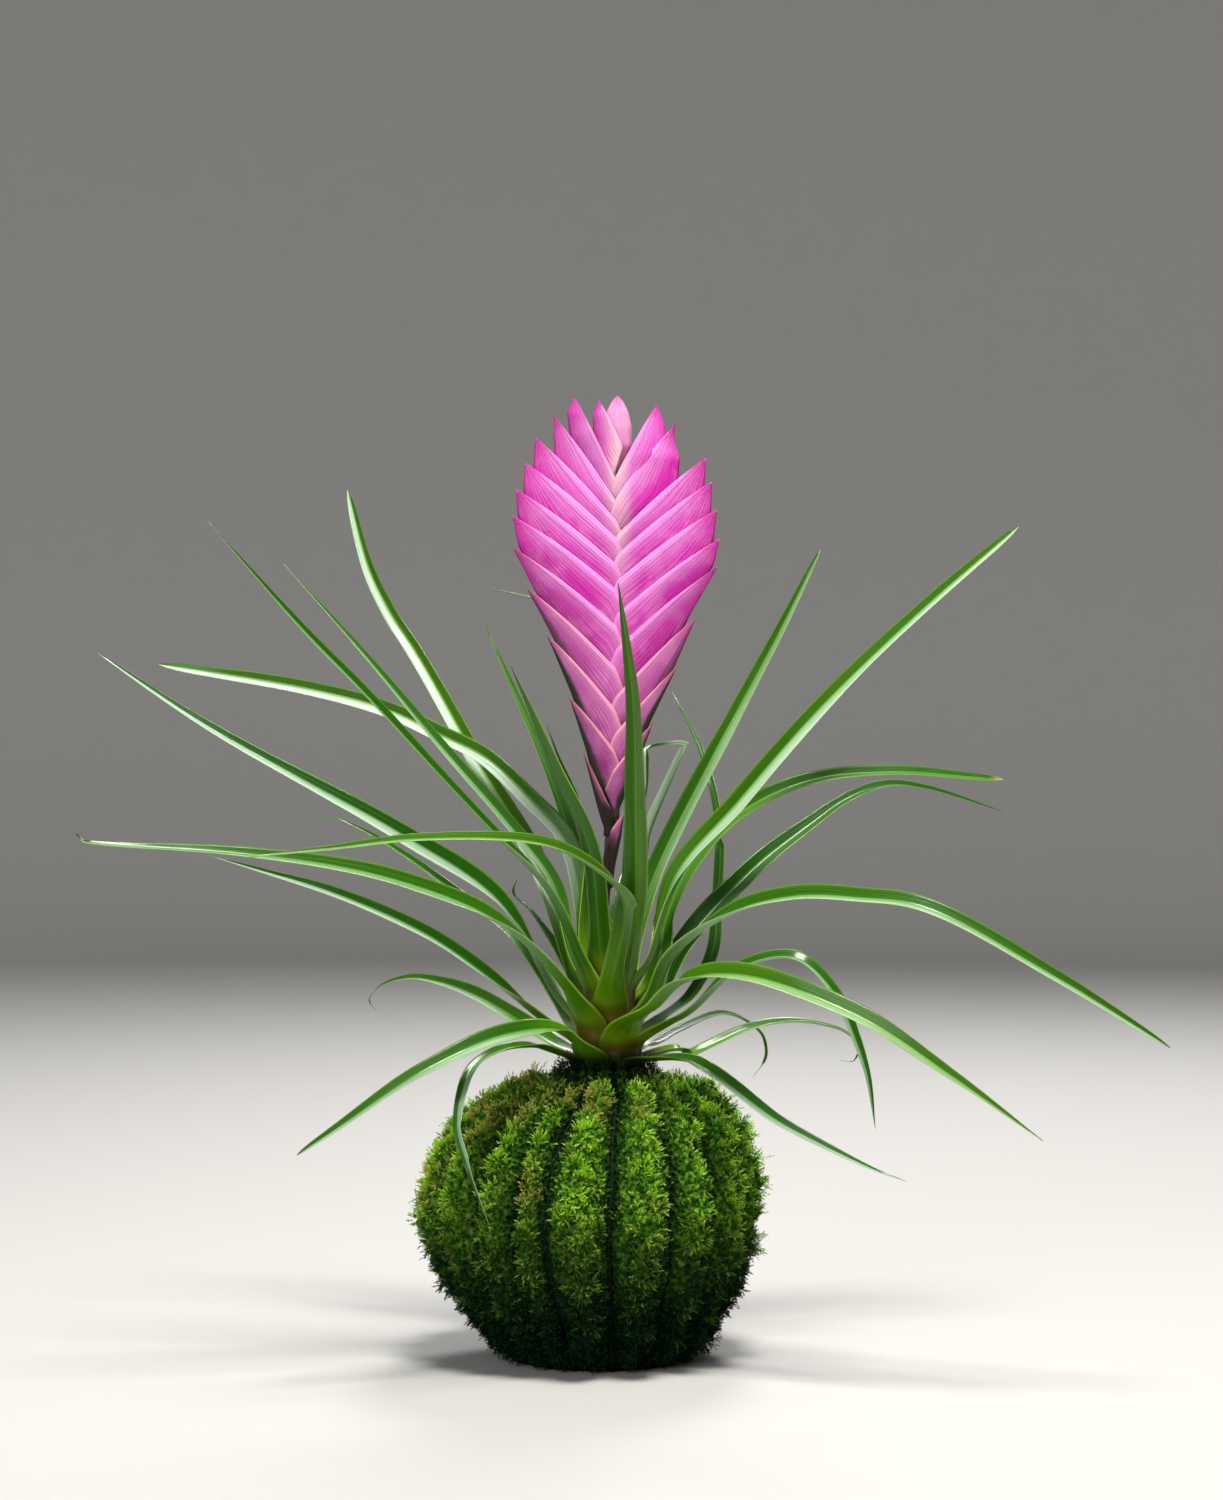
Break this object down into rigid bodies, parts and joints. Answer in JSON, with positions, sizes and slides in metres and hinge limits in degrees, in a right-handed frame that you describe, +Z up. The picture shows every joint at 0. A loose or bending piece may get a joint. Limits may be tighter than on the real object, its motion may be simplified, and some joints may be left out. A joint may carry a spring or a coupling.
{
  "type": "tillandsia kokedama",
  "caption": "Air plant with arching strap leaves and a flat pink flower spike, rooted in a moss ball bound with dark thread that stands on its flattened underside.",
  "frame": {"origin": "centre of the flat patch that the moss ball stands on", "axes": "+Z up along the flower stalk; -Y towards the viewer, facing the broad side of the flower spike; +X to the viewer's right"},
  "size_m": [0.2985, 0.2386, 0.2775],
  "materials": {
    "moss": "matte",
    "soil": "matte",
    "thread": "matte",
    "stem": "matte",
    "stalk": "satin",
    "leaf": "satin",
    "bract": "satin"
  },
  "bodies": {
    "root": {"moss_wrap": "moss", "soil_core": "soil", "binding_thread": "thread", "short_stem": "stem", "flower_stalk": "stalk", "leaf_left_a": "leaf", "leaf_left_b": "leaf", "leaf_left_c": "leaf", "leaf_left_d": "leaf", "leaf_left_e": "leaf", "leaf_left_f": "leaf", "leaf_left_g": "leaf", "leaf_left_h": "leaf", "leaf_left_i": "leaf", "leaf_left_j": "leaf", "leaf_left_k": "leaf", "leaf_left_l": "leaf", "leaf_left_m": "leaf", "leaf_left_n": "leaf", "leaf_left_o": "leaf", "leaf_front_a": "leaf", "leaf_front_b": "leaf", "leaf_front_c": "leaf", "leaf_right_a": "leaf", "leaf_right_b": "leaf", "leaf_right_c": "leaf", "leaf_right_d": "leaf", "leaf_right_e": "leaf", "leaf_right_f": "leaf", "leaf_right_g": "leaf", "leaf_right_h": "leaf", "leaf_right_i": "leaf", "leaf_right_j": "leaf", "leaf_right_k": "leaf", "leaf_back_a": "leaf", "leaf_back_b": "leaf", "bract_left_1": "bract", "bract_left_2": "bract", "bract_left_3": "bract", "bract_left_4": "bract", "bract_left_5": "bract", "bract_left_6": "bract", "bract_left_7": "bract", "bract_left_8": "bract", "bract_left_9": "bract", "bract_left_10": "bract", "bract_left_11": "bract", "bract_left_12": "bract", "bract_right_1": "bract", "bract_right_2": "bract", "bract_right_3": "bract", "bract_right_4": "bract", "bract_right_5": "bract", "bract_right_6": "bract", "bract_right_7": "bract", "bract_right_8": "bract", "bract_right_9": "bract", "bract_right_10": "bract", "bract_right_11": "bract", "bract_crown": "bract"}
  },
  "joints": []
}
